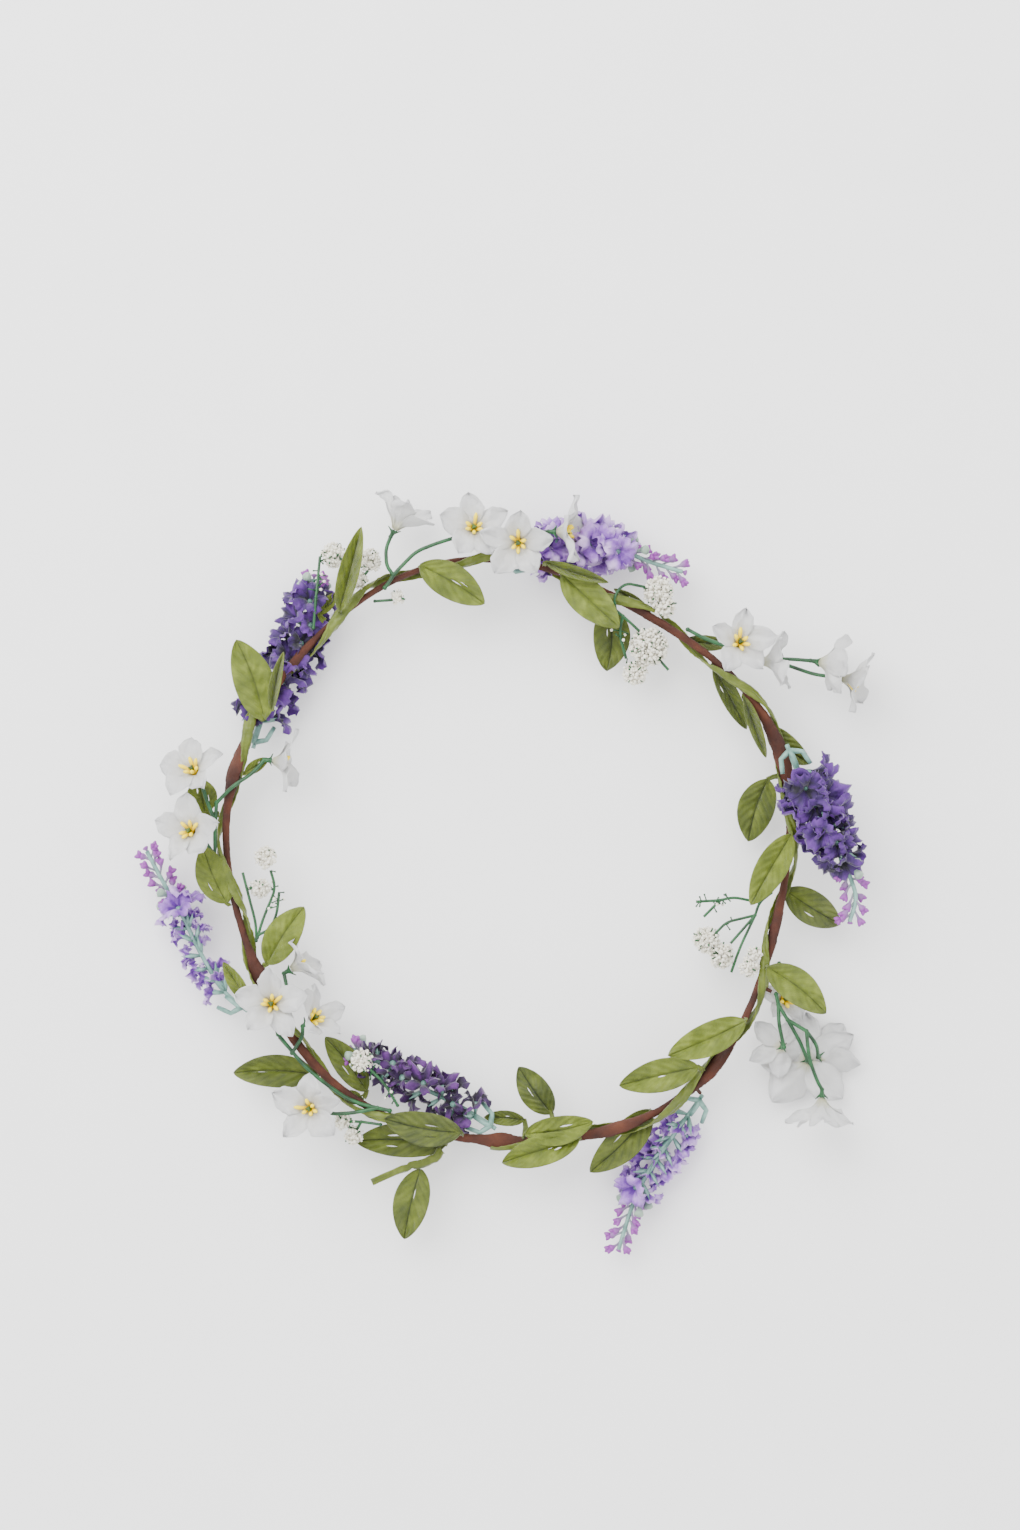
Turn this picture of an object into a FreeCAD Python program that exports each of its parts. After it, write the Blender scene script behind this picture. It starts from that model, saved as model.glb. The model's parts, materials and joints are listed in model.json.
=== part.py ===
"""Flower crown: a wire hoop wrapped in paper tape, with a leaf garland wound round it and
artificial sprays bound on. Millimetres. The origin is the centre of the head opening, in the
plane of the hoop, and +Z points up from the surface that the crown lies on.

A place on the crown is written (angle, out) or (angle, out, height): the angle round the hoop in
degrees from +X, the distance outside the hoop's centreline, and the height above its plane."""
import FreeCAD, Part
import math
import os

Vector = FreeCAD.Vector

# ---- driving dimensions
HOOP_RADIUS = 92.0            # mean radius of the hoop's centreline
HOOP_BENDS = [(1, 0.9, -76), (2, 2.0, -69), (3, 0.6, 15), (4, 1.1, 26), (5, 1.7, 23)]
HOOP_STEP = 5                 # degrees between the points that the hoop is drawn through
WIRE_RADIUS = 0.8
TAPE_RADIUS = 1.7
TAPE_BORE_PLAY = 0.05
GARLAND_RADIUS = 0.9          # rolled ribbon that carries the leaves
GARLAND_GAP = 0.3
GARLAND_START = 268.0         # angle on the hoop where the winding starts
GARLAND_SPAN = 342.5          # degrees of hoop that it covers
GARLAND_TURN = 30.0           # degrees of hoop to one turn of the garland round it
GARLAND_STEP = 2.5
LEAF_THICKNESS = 0.5
PETAL_THICKNESS = 0.5
PETAL_CUP = 24.0              # degrees by which the petals rise towards the stamens
PETAL_WIDTH = 0.72            # of a petal's length
FIRST_PETAL = 18.0            # degrees
PETAL_START = 1.2             # how far up the throat the petals leave it
THROAT_RADII = (0.9, 2.2)     # of a flower's tube, at its foot and its mouth
THROAT_LENGTH = 2.4
STAMEN_RADII = (0.7, 1.9)     # of the bunch of stamens, at its foot and its top
STAMEN_START = 2.0
STAMEN_LENGTH = 4.5
CALYX_MOUTH_RADIUS = 0.9
FLOWER_STEM_RADIUS = 0.6
CALYX_LENGTH = 2.4
LAVENDER_STEM_RADIUS = 0.7
FLORET_LENGTH = 7.0
FLORET_NECK_RADIUS = 0.5
FLORET_MOUTH_RADIUS = 3.6
BUD_RADII = (0.35, 1.2)       # of a club bud, at its stalk and its head
BUD_LENGTH = 4.6
BUD_COUNT = 8
SIDE_START = 1.0              # distance from a lavender stem's middle to a floret's foot
FLORET_LEANS = (64, 38, 52)   # degrees from the stem, taken in turn
FLORET_RISES = (-9, 12, 3, -5)
FLORET_LEAN_STEP = 0.7        # degrees more for each floret, so that no two leave alike
BUD_LEAN = 46
BUD_LEAN_STEP = 1.3
BUD_RISES = (-8, 1, 10)
FIRST_FLORET = 0.14           # places along a sprig, as shares of its stem
LAST_FLORET = 0.66
FIRST_BUD = 0.72
LAST_BUD = 0.985
SHORT_TIP_LAST_FLORET = 0.84
SHORT_TIP_FIRST_BUD = 0.88
GYPSOPHILA_STEM_RADIUS = 0.45
KNUCKLE_SWELL = 1.25          # a joint or end of a moulded stem is this much thicker than the stem
KNUCKLE_POLE = Vector(0.62, -0.45, 0.64)    # clear of every branch
FOOT_RADIUS = 0.6             # paper-wrapped foot that carries a free spray out from the hoop
FOOT_GAP = 1.7                # between its end and the spray's hinge
TIE_RADIUS = 0.35             # thin paper-covered tie wires
SMALLEST_PIECE = 2.0          # mm3, what is trimmed off below this size isn't kept
SECTOR_ANGLE = 10.0           # degrees of hoop in each piece that soft parts are trimmed to
RING_NODES = {"hoop_wire", "hoop_tape", "garland_ribbon"}


# ---- places and directions
def hoop_radius(angle):
    """Radius of the hoop's centreline, which is bent by hand and not quite round."""
    bends = sum(height * math.cos(math.radians(waves * (angle - peak)))
                for waves, height, peak in HOOP_BENDS)
    return HOOP_RADIUS + bends


def on_crown(angle, out=0.0, height=0.0):
    reach = hoop_radius(angle) + out
    turn = math.radians(angle)
    return Vector(reach * math.cos(turn), reach * math.sin(turn), height)


def direction(heading, rise=0.0):
    """Unit vector from a heading in the hoop's plane and an angle above that plane."""
    flat = math.cos(math.radians(rise))
    return Vector(flat * math.cos(math.radians(heading)),
                  flat * math.sin(math.radians(heading)),
                  math.sin(math.radians(rise)))


def placed(shape, origin, axis):
    """Copy of a shape made along +Z, moved to an origin and turned to an axis."""
    result = shape.copy()
    result.Placement = FreeCAD.Placement(origin, FreeCAD.Rotation(Vector(0, 0, 1), axis))
    return result


# ---- building blocks
def corner_arc(before, corner, after):
    """Arc that rounds a corner between two runs, as large as the shorter run allows."""
    back = before - corner
    ahead = after - corner
    trim = 0.45 * min(back.Length, ahead.Length)
    back.normalize()
    ahead.normalize()
    half = back.getAngle(ahead) / 2
    bisector = back + ahead
    bisector.normalize()
    radius = trim * math.tan(half)
    middle = corner + bisector * (trim / math.cos(half) - radius)
    return Part.Arc(corner + back * trim, middle, corner + ahead * trim)


def rounded_path(points, closed=False):
    """Wire of straight runs joined by tangent arcs."""
    count = len(points)
    corners = range(count) if closed else range(1, count - 1)
    arcs = [corner_arc(points[i - 1], points[i], points[(i + 1) % count]) for i in corners]
    edges = []
    here = arcs[-1].EndPoint if closed else points[0]
    for arc in arcs:
        edges.append(Part.LineSegment(here, arc.StartPoint).toShape())
        edges.append(arc.toShape())
        here = arc.EndPoint
    if not closed:
        edges.append(Part.LineSegment(here, points[-1]).toShape())
    return Part.Wire(edges)


def tube(points, radius, closed=False):
    """Round rod along a rounded path."""
    if len(points) == 2:
        run = points[1] - points[0]
        return Part.makeCylinder(radius, run.Length, points[0], run)
    path = rounded_path(points, closed)
    start = path.Edges[0]
    profile = Part.Wire(Part.makeCircle(radius, start.valueAt(start.FirstParameter),
                                        start.tangentAt(start.FirstParameter)))
    return path.makePipeShell([profile], True, False)


def fused(shapes):
    """One shape from overlapping ones, as a list of its separate solids."""
    whole = shapes[0] if len(shapes) == 1 else shapes[0].multiFuse(shapes[1:])
    return whole.Solids


def knuckle(point, stem_radius):
    return placed(Part.makeSphere(KNUCKLE_SWELL * stem_radius), point, KNUCKLE_POLE)


def branches(routes, radius):
    """Branched stem: rods that start on each other, with a round knuckle at each start."""
    rods = []
    for route in routes:
        rods += [tube(route, radius), knuckle(route[0], radius)]
    return fused(rods)


def lens_plate(length, width, thickness):
    """Pointed oval plate from the origin along +X, its mid-plane in the plane of X and Y."""
    base = Vector(0, 0, -thickness / 2)
    tip = Vector(length, 0, -thickness / 2)
    sides = [Part.Arc(base, Vector(0.45 * length, y, -thickness / 2), tip).toShape()
             for y in (width / 2, -width / 2)]
    return Part.Face(Part.Wire(sides)).extrude(Vector(0, 0, thickness))


def leaf(place, heading, length, width, height, rise):
    plate = lens_plate(length, width, LEAF_THICKNESS)
    plate.rotate(Vector(), Vector(0, 1, 0), -rise)
    plate.rotate(Vector(), Vector(0, 0, 1), heading)
    plate.translate(on_crown(*place, height))
    return plate


def stamen_plug():
    return Part.makeCone(*STAMEN_RADII, STAMEN_LENGTH, Vector(0, 0, STAMEN_START))


def stamens(origin, axis):
    """Pistil and the ring of stamens around it, as one small flared plug."""
    return placed(stamen_plug(), origin, axis)


def corolla(origin, axis, radius):
    """Five pointed petals that rise from a short tube."""
    throat = Part.makeCone(*THROAT_RADII, THROAT_LENGTH)
    petals = []
    for fifth in range(5):
        petal = lens_plate(radius, PETAL_WIDTH * radius, PETAL_THICKNESS)
        petal.rotate(Vector(), Vector(0, 1, 0), -PETAL_CUP)
        petal.rotate(Vector(), Vector(0, 0, 1), 72 * fifth + FIRST_PETAL)
        petal.translate(Vector(0, 0, PETAL_START))
        petals.append(petal)
    return placed(throat.multiFuse(petals).cut(stamen_plug()), origin, axis)


def calyx(origin, axis):
    """Small flare that joins a flower's foot to its stem."""
    return placed(Part.makeCone(FLOWER_STEM_RADIUS, CALYX_MOUTH_RADIUS, CALYX_LENGTH,
                                Vector(0, 0, -CALYX_LENGTH)), origin, axis)


def along(route, share):
    """Point and heading at a share of the length of a route."""
    runs = [(a, b, (b - a).Length) for a, b in zip(route, route[1:])]
    left = share * sum(run[2] for run in runs)
    for start, end, length in runs:
        if left <= length:
            break
        left -= length
    step = end - start
    return start + step * (left / length), math.degrees(math.atan2(step.y, step.x))


def floret(origin, axis):
    """Trumpet-shaped floret with its narrow end at the origin."""
    cone = Part.makeCone(FLORET_NECK_RADIUS, FLORET_MOUTH_RADIUS, FLORET_LENGTH)
    return placed(cone, origin, axis)


def bud(origin, axis):
    """Club-shaped bud on a thin stalk."""
    return placed(Part.makeCone(*BUD_RADII, BUD_LENGTH), origin, axis)


# ---- hoop
def hoop_points():
    return [on_crown(angle) for angle in range(0, 360, HOOP_STEP)]


def hoop_wire():
    return [tube(hoop_points(), WIRE_RADIUS, closed=True)]


def hoop_tape():
    outside = tube(hoop_points(), TAPE_RADIUS, closed=True)
    bore = tube(hoop_points(), WIRE_RADIUS + TAPE_BORE_PLAY, closed=True)
    return [outside.cut(bore)]


def hoop_end_ties():
    """Ends of the paper-covered tie wires that stand off the tape."""
    lap = [on_crown(219, 3.6, 1.5), on_crown(222, 3.0, 2.0), on_crown(226, 1.9, 1.2)]
    twig = [on_crown(99, -1.5, 0.8), on_crown(97.5, -2.6, 1.0), on_crown(96.5, -4.6, 1.0)]
    return [tube(lap, TIE_RADIUS), tube(twig, TIE_RADIUS)]


def garland_ribbon():
    """Rolled ribbon wound round the tape, from the tail nearly all the way round."""
    offset = TAPE_RADIUS + GARLAND_GAP + GARLAND_RADIUS
    points = []
    for step in range(round(GARLAND_SPAN / GARLAND_STEP) + 1):
        travel = step * GARLAND_STEP
        phase = math.radians(360 * travel / GARLAND_TURN)
        points.append(on_crown(GARLAND_START + travel, offset * math.cos(phase),
                               offset * math.sin(phase)))
    return [tube(points, GARLAND_RADIUS)]


# ---- leaves: place, heading, length, width, height and rise of each
LEAVES = {
    "leaves_top": [
        ((107, 1), 329, 24, 11.5, 4.4, 0), ((79, -0.5), 317, 25, 11.5, 4.6, 3),
        ((67.5, -3), 268, 21, 12, -4.6, -4), ((82.5, 1.5), 342, 21, 4, 4.8, 6),
        ((68, 2.5), 324, 15, 3.5, -4.4, 0)],
    "leaves_upper_right": [
        ((50, -0.5), 356, 15, 5, -4.4, -4), ((42, -1.5), 298, 23, 6, -4.4, -5),
        ((20, -5), 110, 21, 4, -1.0, 0), ((25.5, -0.5), 319, 18, 8, -4.4, -6)],
    "leaves_right": [
        ((15.5, -6), 253, 21, 12, -4.4, -8), ((3.5, 0), 240, 26, 10, 4.4, 0),
        ((352, 1), 328, 21, 11, -4.4, -6), ((336, 0.5), 322, 24, 11, 4.6, 12)],
    "leaves_lower_right": [
        ((324.5, 0), 204, 27, 10.5, 4.4, 0), ((311.5, -4), 193, 26, 10.5, 4.4, 0),
        ((299, -1), 225, 28, 11, -4.3, 2)],
    "leaves_bottom": [
        ((279.5, -8), 125, 19, 10, -3.8, 2), ((287.5, -4.5), 190, 22, 9.5, 5.2, 2),
        ((284, 0), 198, 26, 10, 4.2, -4), ((273.5, -6.5), 176, 13, 5, -4.6, 0)],
    "leaves_lower_left": [
        ((260.5, -2), 169, 25, 11, 5.2, 4), ((258, 3.4), 178, 29, 11, -4.3, -3),
        ((239.5, -4), 127, 22, 9, -4.2, 2), ((229.5, 2), 179, 27, 10.5, -4.3, -4),
        ((235.5, 1), 340, 7, 4.5, -4.5, 0)],
    "leaves_left": [
        ((205, -4), 57, 22, 11, 2.0, 6), ((210, 6.5), 122, 15, 5, 1.2, 4),
        ((190.5, 2.5), 113, 20, 11, 1.5, 0), ((173, 7), 101, 12, 10, -2.0, -4)],
    "leaves_upper_left": [
        ((151.5, -3), 109, 27, 13, 4.6, 4), ((149, -3.5), 78, 19, 3.5, 4.8, 6),
        ((125, 1), 75, 28, 6.5, 5.0, 8), ((163.5, -3.5), 33, 9, 4, -1.0, 0),
        ((128.5, 5), 51, 9, 4, -2.5, 0)],
}


def leaf_group(leaves):
    return [leaf(*sizes) for sizes in leaves]


# ---- white flowers: place and height, heading and rise that it faces, petal radius
FLOWERS = {
    "top": [((109.5, 14.5, 0.5), 60, 8, 14.5), ((96, 9, 5.0), 90, 78, 12.5),
            ((88, 6, 8.5), 250, 80, 12.5), ((81.5, 12, 5.0), 0, 8, 13.5)],
    "right_hoop": [((42, 8.5, 6.0), 60, 75, 11.5), ((331.5, 9.5, -7.6), 40, 72, 9.0)],
    "right": [((36.5, 9.5, 0.5), 18, -10, 13), ((31.5, 24, 0.5), 352, -6, 13),
              ((27.5, 27.5, -0.5), 350, 6, 12.5)],
    "lower_right": [((324.5, 15, -0.5), 200, -80, 11), ((325, 24.5, -3.6), 270, -84, 11.5),
                    ((326.5, 27.5, -6.8), 0, -84, 13), ((322, 34, 0.5), 270, -6, 13)],
    "left": [((213, -0.5, 7.5), 120, 80, 12.5), ((220.5, -7, 3.5), 35, 30, 12),
             ((208.5, -10, 0.0), 30, 0, 12), ((232.5, 10, 5.5), 180, 78, 12.5)],
    "upper_left": [((176.5, 10, 5.5), 150, 66, 12.5), ((166, 11, 4.0), 128, 50, 12),
                   ((159, -10.5, 0.0), 352, 0, 12)],
}

# ---- stems of the white flowers: routes, each ended at the numbered flower of its group
FLOWER_STEMS = {
    "top": [
        ([(115, -1, 2.6), (113.5, 0.2, 2.8), (112.5, 1.4, 2.8)], None),
        ([(112.5, 1.4, 2.8), (113, 5, 2.4), (112, 10, 1.6)], 0),
        ([(112.5, 1.4, 2.8), (110, 3.2, 3.0), (107, 5.6, 3.0), (103, 6.4, 3.0)], 1),
        ([(98, 3.8, 0.6), (95.5, 4.4, 1.2), (92, 5.0, 2.6)], 2),
        ([(95.5, 4.4, 1.2), (90, 6.5, 0.8), (86, 9.5, 2.0)], 3)],
    "right_hoop": [
        ([(51, 2.8, 1.6), (47.5, 3.4, 1.8), (44, 5.2, 2.0)], 0),
        ([(337.5, 4.5, -4.4), (335, 6.5, -8.6)], 1)],
    "right": [
        ([(41.5, 4.6, -1.0), (39, 8, -0.6), (36, 13, -0.2)], None),
        ([(36, 13, -0.2), (34.5, 17, 0.4)], 1),
        ([(36, 13, -0.2), (33.5, 16, -3.5), (30, 21, -3.5)], 2),
        ([(40.2, 6.4, -0.8), (38.5, 7.4, 1.2)], 0)],
    "lower_right": [
        ([(332, 6.2, 1.0), (330.5, 8, 1.6)], None),
        ([(330.5, 8, 1.6), (329, 12.5, 2.6)], None),
        ([(330.5, 8, 1.6), (327.5, 10.5, 2.8)], 0),
        ([(329, 12.5, 2.6), (327, 19, 2.4)], 1),
        ([(329, 12.5, 2.6), (329, 19.5, 3.4)], None),
        ([(329, 19.5, 3.4), (328, 24.5, 1.0)], 2),
        ([(329, 19.5, 3.4), (325.5, 24, 4.0), (323.4, 30, 2.6)], 3)],
    "left": [
        ([(218.5, 3.2, 2.2), (228, 2.6, 2.6), (238, 1.0, 3.0), (245.5, -2.5, 3.0)], None),
        ([(218.5, 3.2, 2.2), (215, 1.8, 2.6)], 0),
        ([(223, 2.9, 2.4), (222, -3.0, 2.2)], 1),
        ([(215.5, -3.0, 2.4), (212, -6.5, 1.0)], 2),
        ([(243, -1.6, 3.0), (239.5, 3.5, 3.2), (236, 8, 3.0)], 3)],
    "upper_left": [
        ([(181, 3.6, 1.4), (176.5, 3.4, 1.8), (170.5, 3.4, 1.8)], None),
        ([(181, 3.6, 1.4), (178.5, 6, 1.8)], 0),
        ([(174, 3.4, 1.8), (170, 7.0, 1.6)], 1),
        ([(170.5, 3.4, 1.8), (166.5, -1.0, 2.6), (163, -6.0, 1.4)], 2)],
}


def flower_axis(flower):
    return direction(flower[1], flower[2])


def spray_stems(group):
    """Moulded branching stem with a flared calyx under each flower."""
    flowers = FLOWERS[group]
    pieces = []
    for places, number in FLOWER_STEMS[group]:
        route = [on_crown(*place) for place in places]
        if number is not None:
            flower = flowers[number]
            route.append(on_crown(*flower[0]) - flower_axis(flower) * CALYX_LENGTH)
            pieces.append(calyx(on_crown(*flower[0]), flower_axis(flower)))
        pieces += [tube(route, FLOWER_STEM_RADIUS), knuckle(route[0], FLOWER_STEM_RADIUS),
                   knuckle(route[-1], FLOWER_STEM_RADIUS)]
    return fused(pieces)


def spray_corollas(group):
    return [corolla(on_crown(*flower[0]), flower_axis(flower), flower[3])
            for flower in FLOWERS[group]]


def spray_stamens(group):
    return [stamens(on_crown(*flower[0]), flower_axis(flower)) for flower in FLOWERS[group]]


# ---- lavender: route of the stem, number of florets, and shares of the route for each kind
LAVENDER = {
    "top": [(91.5, -2.4, -3.2), (86, 3.5, -5.5), (77, 11, -6), (70, 15, -6), (64, 15.5, -6),
            (58, 18, -5)],
    "right": [(21, 2.4, 3.4), (15.5, 3, 5.5), (6, 10.5, 6), (358, 18, 6), (352.5, 23.5, 5),
              (348.5, 22.5, 4)],
    "bottom": [(308.5, 4.2, -4.4), (304, 7, -9.0), (298, 12, -9.2), (292.5, 19, -9.2),
               (289, 27, -9), (285.5, 39, -8.5)],
    "left": [(211.5, 8.5, -3.4), (206, 13.5, -6), (197, 16, -6.2), (190.5, 18, -6.2),
             (185, 22, -6), (180, 26, -5.5)],
    "upper_left": [(158, -3.2, -4.6), (151.5, -1.5, -6.6), (143, 1, -7), (134.5, 3.5, -7),
                   (129, 8.5, -6.5), (125.5, 15, -6)],
    "lower_left": [(267.5, -3.6, -2.6), (261.5, -8.5, -3.6), (254.5, -11.5, -4),
                   (245.5, -13, -4), (239, -14, -4), (232, -12, -3.5)],
}
LAVENDER_FLORETS = {"top": 12, "right": 12, "bottom": 12, "left": 12, "upper_left": 13,
                    "lower_left": 12}
SHORT_TIPPED = {"upper_left", "lower_left"}   # sprigs whose florets run nearly to the tip


def lavender_route(sprig):
    return [on_crown(*place) for place in LAVENDER[sprig]]


def lavender_stem(sprig):
    return [tube(lavender_route(sprig), LAVENDER_STEM_RADIUS)]


def side_pose(route, share, side, lean, rise):
    """Point on the surface of a stem and the direction in which a side piece leaves it."""
    point, heading = along(route, share)
    axis = direction(heading + side * lean, rise)
    return point + axis * SIDE_START, axis


def lavender_florets(sprig):
    route = lavender_route(sprig)
    count = LAVENDER_FLORETS[sprig]
    last = SHORT_TIP_LAST_FLORET if sprig in SHORT_TIPPED else LAST_FLORET
    pieces = []
    for number in range(count):
        share = FIRST_FLORET + (last - FIRST_FLORET) * number / (count - 1)
        side = 1 if number % 2 else -1
        lean = FLORET_LEANS[number % len(FLORET_LEANS)] + FLORET_LEAN_STEP * number
        rise = FLORET_RISES[number % len(FLORET_RISES)]
        pieces.append(floret(*side_pose(route, share, side, lean, rise)))
    return fused(pieces)


def lavender_buds(sprig):
    route = lavender_route(sprig)
    first = SHORT_TIP_FIRST_BUD if sprig in SHORT_TIPPED else FIRST_BUD
    pieces = []
    for number in range(BUD_COUNT):
        share = first + (LAST_BUD - first) * number / (BUD_COUNT - 1)
        side = 1 if number % 2 else -1
        lean = BUD_LEAN + BUD_LEAN_STEP * number
        rise = BUD_RISES[number % len(BUD_RISES)]
        pieces.append(bud(*side_pose(route, share, side, lean, rise)))
    return fused(pieces)


# ---- gypsophila: branch routes, and the place, height and radius of each cluster
GYPSOPHILA = {
    "top": ([[(71, -2.9, 2.4), (66, -3.6, 2.8)],
             [(66, -3.6, 2.8), (64, -4.2, 2.4)],
             [(64, -4.2, 2.4), (63, -9.5, 1.6), (58.5, -15.5, 0.5)],
             [(64, -4.2, 2.4), (60, -5.5, 2.2), (56, -7, 1.0)],
             [(66, -3.6, 2.8), (67.5, 0.2, 3.4), (66.5, 5.5, 2.2), (61.5, 8, 1.0)],
             [(55, -9, 0.5), (52, -10.2, 0.5), (48.5, -11.5, 0.5)]],
            [((54.5, -18, 0.5), 3.4), ((55.5, -8.5, 1.0), 5.6), ((60, 8.4, 1.0), 4.2),
             ((57.5, 5.2, 1.2), 3.2)]),
    "right": ([[(351, -3.4, -3.4), (348.5, -6.5, -3.6), (345.5, -6.9, -3.6)],
               [(348.5, -6.5, -3.6), (348.5, -15, -3), (347, -19, -3), (345, -26.5, -2.5)],
               [(347, -19, -3), (341.5, -23, -3)],
               [(345.5, -6.9, -3.6), (342, -15.5, -3.4), (338.5, -18, -3)],
               [(345.5, -6.9, -3.6), (337.5, -12.5, -3.4)],
               [(345.5, -6.9, -3.6), (337.5, -9.2, -3.6), (331.5, -9.6, -3.4)]],
              [((336, -20.5, -3), 3.8), ((334, -14.5, -3.2), 3.6)]),
    "left": ([[(199.5, -3.4, 2.2), (196, -5, 2.6), (188, -5, 2.4), (184.5, -4.6, 2)],
              [(199, -4.0, 2.2), (195.5, -7.4, 1.6), (189, -14, 1), (184.5, -13.5, 1)],
              [(198.5, -4.6, 2.2), (198, -9, 2.6), (195, -12.5, 4.5), (190, -15, 4.0)]],
             [((181.5, -12.5, 1), 3.0), ((188.5, -9, 2), 2.8)]),
    "upper_left": ([[(131, 2.8, 1.8), (127, 9.5, 2.4), (124.5, 15, 2), (124, 24, 1)],
                    [(127, 9.5, 2.4), (122.5, 19, 0)],
                    [(120, 4.8, 0.8), (117, 6.2, 0.6), (114, 8.5, 0.4)],
                    [(118, -2.9, 0.6), (114.5, -5.6, 0.6)]],
                   [((120.5, 17, -1), 3.4), ((115.5, 9.5, 0.2), 3.2), ((119, 6.2, 0.2), 2.6),
                    ((113.5, -5.6, 0.6), 1.9)]),
    "lower_left": ([[(246.5, -5, 2.6), (242, -9.5, 2.2), (237.5, -11, 2)],
                    [(245, 2.9, 1.5), (241.5, 5, 0.5), (239.5, 7, -0.5)],
                    [(241.5, 5, 0.5), (241.5, 8.5, -1)]],
                   [((235, -11.5, 2), 3.2), ((238.5, 8.0, -1), 2.4), ((241.5, 10.2, -1.4), 2.6)]),
}
LONE_CLUSTERS = [((334.5, -5.0, 3.0), 2.6), ((337.5, -4.6, 3.4), 2.0)]


def gypsophila_stem(sprig):
    routes = [[on_crown(*place) for place in route] for route in GYPSOPHILA[sprig][0]]
    return branches(routes, GYPSOPHILA_STEM_RADIUS)


def clusters(places):
    return fused([Part.makeSphere(radius, on_crown(*place)) for place, radius in places])


# ---- garland tail: loose end of the garland with one leaf, free to swing
TAIL_ROUTE = [(257.6, 5.0, 0), (256, 9.5, 0), (252.5, 13, 0), (249.5, 18, 0), (247.5, 22, 0)]
TAIL_LEAF = ((254.6, 12.6), 257, 23, 11.5, -1.8, 0)


def garland_tail():
    ribbon = tube([on_crown(*place) for place in TAIL_ROUTE], GARLAND_RADIUS + 0.4)
    return [ribbon, leaf(*TAIL_LEAF)]


# ---- feet of the free sprays
def hinge_places():
    """Where each part that can be bent aside leaves its foot."""
    sprays = [FLOWER_STEMS[group][0][0][0] for group in ("right", "lower_right")]
    sprigs = [LAVENDER[sprig][0] for sprig in ("bottom", "left")]
    return sprays + sprigs + [GYPSOPHILA["right"][0][0][0], TAIL_ROUTE[0]]


def foot(place):
    """Paper-wrapped foot from the hoop's middle nearly to a hinge."""
    root = on_crown(place[0])
    run = on_crown(*place) - root
    return Part.makeCylinder(FOOT_RADIUS, run.Length - FOOT_GAP, root, run)


def paper_ties():
    return hoop_end_ties() + [foot(place) for place in hinge_places()]


# ---- assembly
def trimmed(solids, harder):
    """Soft solids give way to the harder ones that they are bound against."""
    kept = []
    for solid in solids:
        near = [other for other in harder if solid.BoundBox.intersect(other.BoundBox)]
        rest = solid.cut(near) if near else solid
        kept += [piece for piece in rest.Solids if piece.Volume > SMALLEST_PIECE]
    return kept


def fixed_nodes():
    """Nodes of the hoop and all that is bound tight to it, hardest first."""
    nodes = {"hoop_wire": hoop_wire(), "hoop_tape": hoop_tape(),
             "garland_ribbon": garland_ribbon(), "paper_ties": paper_ties()}
    fixed_sprays = ("top", "right_hoop", "left", "upper_left")
    for group in fixed_sprays:
        nodes[f"{group}_flower_stems"] = spray_stems(group)
    fixed_lavender = ("top", "right", "upper_left", "lower_left")
    for sprig in fixed_lavender:
        nodes[f"{sprig}_lavender_stem"] = lavender_stem(sprig)
    fixed_gypsophila = ("top", "left", "upper_left", "lower_left")
    for sprig in fixed_gypsophila:
        nodes[f"{sprig}_gypsophila_stem"] = gypsophila_stem(sprig)
    for group, leaves in LEAVES.items():
        nodes[group] = leaf_group(leaves)
    for group in fixed_sprays:
        nodes[f"{group}_flower_stamens"] = spray_stamens(group)
    for group in fixed_sprays:
        nodes[f"{group}_flower_petals"] = spray_corollas(group)
    for sprig in fixed_lavender:
        nodes[f"{sprig}_lavender_buds"] = lavender_buds(sprig)
    for sprig in fixed_lavender:
        nodes[f"{sprig}_lavender_florets"] = lavender_florets(sprig)
    for sprig in fixed_gypsophila:
        nodes[f"{sprig}_gypsophila_clusters"] = clusters(GYPSOPHILA[sprig][1])
    nodes["right_hoop_gypsophila_clusters"] = clusters(LONE_CLUSTERS)
    return nodes


def spray_nodes(group):
    return {f"{group}_flower_stems": spray_stems(group),
            f"{group}_flower_stamens": spray_stamens(group),
            f"{group}_flower_petals": spray_corollas(group)}


def lavender_nodes(sprig):
    return {f"{sprig}_lavender_stem": lavender_stem(sprig),
            f"{sprig}_lavender_buds": lavender_buds(sprig),
            f"{sprig}_lavender_florets": lavender_florets(sprig)}


def gypsophila_nodes(sprig):
    return {f"{sprig}_gypsophila_stem": gypsophila_stem(sprig),
            f"{sprig}_gypsophila_clusters": clusters(GYPSOPHILA[sprig][1])}


def sectors(ring):
    """A solid that runs all round the hoop, in short pieces, each near few other solids."""
    wide = 2 * HOOP_RADIUS
    wedge = Part.makePolygon([Vector(), direction(0) * wide, direction(SECTOR_ANGLE) * wide,
                              Vector()])
    block = Part.Face(wedge).extrude(Vector(0, 0, wide)).translated(Vector(0, 0, -wide / 2))
    pieces = []
    for _ in range(round(360 / SECTOR_ANGLE)):
        pieces += ring.common(block).Solids
        block.rotate(Vector(), Vector(0, 0, 1), SECTOR_ANGLE)
    return pieces


def bound_together(nodes):
    """Nodes of one body with every soft piece trimmed to the harder ones before it."""
    harder = []
    result = {}
    for name, solids in nodes.items():
        result[name] = solids if name in RING_NODES else trimmed(solids, harder)
        for solid in result[name]:
            harder += sectors(solid) if name in RING_NODES else [solid]
    return result


def build():
    bodies = [fixed_nodes(), spray_nodes("right"), spray_nodes("lower_right"),
              lavender_nodes("bottom"), lavender_nodes("left"), gypsophila_nodes("right"),
              {"garland_tail": garland_tail()}]
    nodes = {}
    for body in bodies:
        nodes.update(bound_together(body))
    return nodes


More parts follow.
